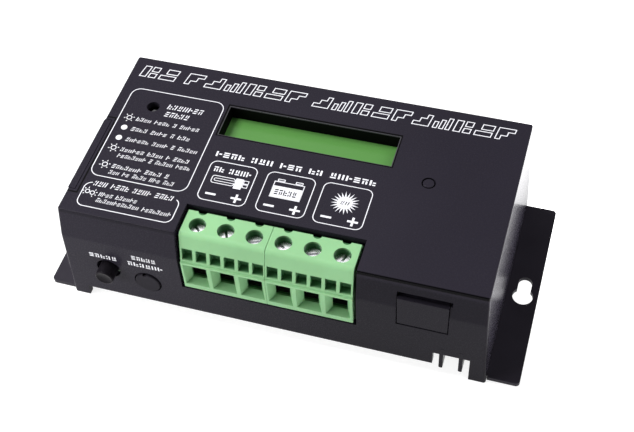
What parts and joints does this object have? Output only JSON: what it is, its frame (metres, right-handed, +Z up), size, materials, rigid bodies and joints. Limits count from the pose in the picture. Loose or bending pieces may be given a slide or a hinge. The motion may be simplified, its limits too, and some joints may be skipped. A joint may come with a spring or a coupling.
{
  "type": "charge controller",
  "caption": "Solar charge controller: dark moulded case on a black flanged base plate, green screw terminals, LCD window, status lamp, reset button and keyhole mounting.",
  "frame": {"origin": "underside of the base plate, midway between its keyholes and below the middle of the top face's depth", "axes": "+X along the case to the right, -Y the front with the terminals, +Z up through the top face with the display"},
  "size_m": [0.1636, 0.0811, 0.0428],
  "materials": {
    "case_plastic": "fine matt moulded black-grey ABS",
    "base_metal": "satin black coated sheet steel",
    "terminal_green": "smooth light green nylon",
    "screw_steel": "bright zinc plated",
    "cage_metal": "nickel plated",
    "pin_metal": "tinned copper alloy",
    "key_plastic": "smooth black",
    "plug_rubber": "matt black",
    "lcd_green": "yellow-green display glass, unlit segments",
    "bezel_black": "black steel",
    "backlight_white": "milky light guide",
    "board_green": "solder mask on glass-fibre board",
    "component_black": "moulded black epoxy",
    "lamp_lens": "clear lamp lens",
    "can_sleeve": "shrink sleeve",
    "aluminium": "mill finish",
    "pad_grey": "soft thermal pad",
    "fuse_yellow": "translucent fuse body",
    "absorber_blue": "dipped epoxy",
    "print_ink": "screen-printed white ink"
  },
  "bodies": {
    "case": {"top_cover": "case_plastic", "base_plate": "base_metal", "front_port_blank": "case_plastic", "side_port_blank": "case_plastic", "cover_screws": "screw_steel", "terminal_block_left": "terminal_green", "terminal_block_right": "terminal_green", "terminal_pins": "pin_metal", "reset_switch": "component_black", "sensor_jack": "component_black", "display_switch": "component_black", "lcd_bezel": "bezel_black", "lcd_glass": "lcd_green", "lcd_backlight": "backlight_white", "lcd_board": "board_green", "lcd_header": "component_black", "lcd_screws": "screw_steel", "carrier_board": "board_green", "carrier_screws": "screw_steel", "status_led": "lamp_lens", "led_spacer": "component_black", "main_board": "board_green", "board_standoffs": "screw_steel", "board_screws": "screw_steel", "thermal_pad": "pad_grey", "mosfets": "component_black", "mosfet_clamp": "aluminium", "clamp_screws": "screw_steel", "bulk_capacitor_1": "can_sleeve", "bulk_capacitor_2": "can_sleeve", "fuse_holder": "component_black", "blade_fuse": "fuse_yellow", "current_shunt": "pin_metal", "microcontroller": "component_black", "crystal": "screw_steel", "voltage_regulator": "component_black", "surge_absorbers": "absorber_blue", "power_diodes": "component_black", "board_connector": "component_black"},
    "reset_key": {"reset_button": "key_plastic", "reset_plunger": "component_black"},
    "display_key": {"display_button": "case_plastic", "display_switch_plunger": "component_black"},
    "sensor_cap": {"sensor_plug": "plug_rubber"},
    "clamp_screw_1": {"terminal_screw_1": "screw_steel"},
    "wire_clamp_1": {"clamp_cage_1": "cage_metal"},
    "clamp_screw_2": {"terminal_screw_2": "screw_steel"},
    "wire_clamp_2": {"clamp_cage_2": "cage_metal"},
    "clamp_screw_3": {"terminal_screw_3": "screw_steel"},
    "wire_clamp_3": {"clamp_cage_3": "cage_metal"},
    "clamp_screw_4": {"terminal_screw_4": "screw_steel"},
    "wire_clamp_4": {"clamp_cage_4": "cage_metal"},
    "clamp_screw_5": {"terminal_screw_5": "screw_steel"},
    "wire_clamp_5": {"clamp_cage_5": "cage_metal"},
    "clamp_screw_6": {"terminal_screw_6": "screw_steel"},
    "wire_clamp_6": {"clamp_cage_6": "cage_metal"}
  },
  "joints": [
    {"name": "reset_press", "type": "slide", "parent": "case", "child": "reset_key", "axis": [0, 1, 0], "range_m": [0, 0.0015], "stiffness_N_per_m": 600},
    {"name": "display_key_press", "type": "slide", "parent": "case", "child": "display_key", "axis": [0, 0, -1], "range_m": [0, 0.0005], "stiffness_N_per_m": 800},
    {"name": "sensor_plug_pull", "type": "slide", "parent": "case", "child": "sensor_cap", "axis": [0, -1, 0], "range_m": [0, 0.012]},
    {"name": "terminal_screw_1_turn", "type": "hinge", "parent": "case", "child": "clamp_screw_1", "pos_m": [-0.0242, -0.0306, 0.0392], "axis": [0, 0, -1], "range_deg": [0, 1800]},
    {"name": "clamp_cage_1_rise", "type": "slide", "parent": "case", "child": "wire_clamp_1", "axis": [0, 0, 1], "range_m": [0, 0.0035]},
    {"name": "terminal_screw_2_turn", "type": "hinge", "parent": "case", "child": "clamp_screw_2", "pos_m": [-0.0147, -0.0306, 0.0392], "axis": [0, 0, -1], "range_deg": [0, 1800]},
    {"name": "clamp_cage_2_rise", "type": "slide", "parent": "case", "child": "wire_clamp_2", "axis": [0, 0, 1], "range_m": [0, 0.0035]},
    {"name": "terminal_screw_3_turn", "type": "hinge", "parent": "case", "child": "clamp_screw_3", "pos_m": [-0.0052, -0.0306, 0.0392], "axis": [0, 0, -1], "range_deg": [0, 1800]},
    {"name": "clamp_cage_3_rise", "type": "slide", "parent": "case", "child": "wire_clamp_3", "axis": [0, 0, 1], "range_m": [0, 0.0035]},
    {"name": "terminal_screw_4_turn", "type": "hinge", "parent": "case", "child": "clamp_screw_4", "pos_m": [0.0043, -0.0306, 0.0392], "axis": [0, 0, -1], "range_deg": [0, 1800]},
    {"name": "clamp_cage_4_rise", "type": "slide", "parent": "case", "child": "wire_clamp_4", "axis": [0, 0, 1], "range_m": [0, 0.0035]},
    {"name": "terminal_screw_5_turn", "type": "hinge", "parent": "case", "child": "clamp_screw_5", "pos_m": [0.0138, -0.0306, 0.0392], "axis": [0, 0, -1], "range_deg": [0, 1800]},
    {"name": "clamp_cage_5_rise", "type": "slide", "parent": "case", "child": "wire_clamp_5", "axis": [0, 0, 1], "range_m": [0, 0.0035]},
    {"name": "terminal_screw_6_turn", "type": "hinge", "parent": "case", "child": "clamp_screw_6", "pos_m": [0.0233, -0.0306, 0.0392], "axis": [0, 0, -1], "range_deg": [0, 1800]},
    {"name": "clamp_cage_6_rise", "type": "slide", "parent": "case", "child": "wire_clamp_6", "axis": [0, 0, 1], "range_m": [0, 0.0035]}
  ],
  "couplings": [
    {"joint": "terminal_screw_1_turn", "follows": "clamp_cage_1_rise", "rad_per_m": 8976},
    {"joint": "terminal_screw_2_turn", "follows": "clamp_cage_2_rise", "rad_per_m": 8976},
    {"joint": "terminal_screw_3_turn", "follows": "clamp_cage_3_rise", "rad_per_m": 8976},
    {"joint": "terminal_screw_4_turn", "follows": "clamp_cage_4_rise", "rad_per_m": 8976},
    {"joint": "terminal_screw_5_turn", "follows": "clamp_cage_5_rise", "rad_per_m": 8976},
    {"joint": "terminal_screw_6_turn", "follows": "clamp_cage_6_rise", "rad_per_m": 8976}
  ]
}
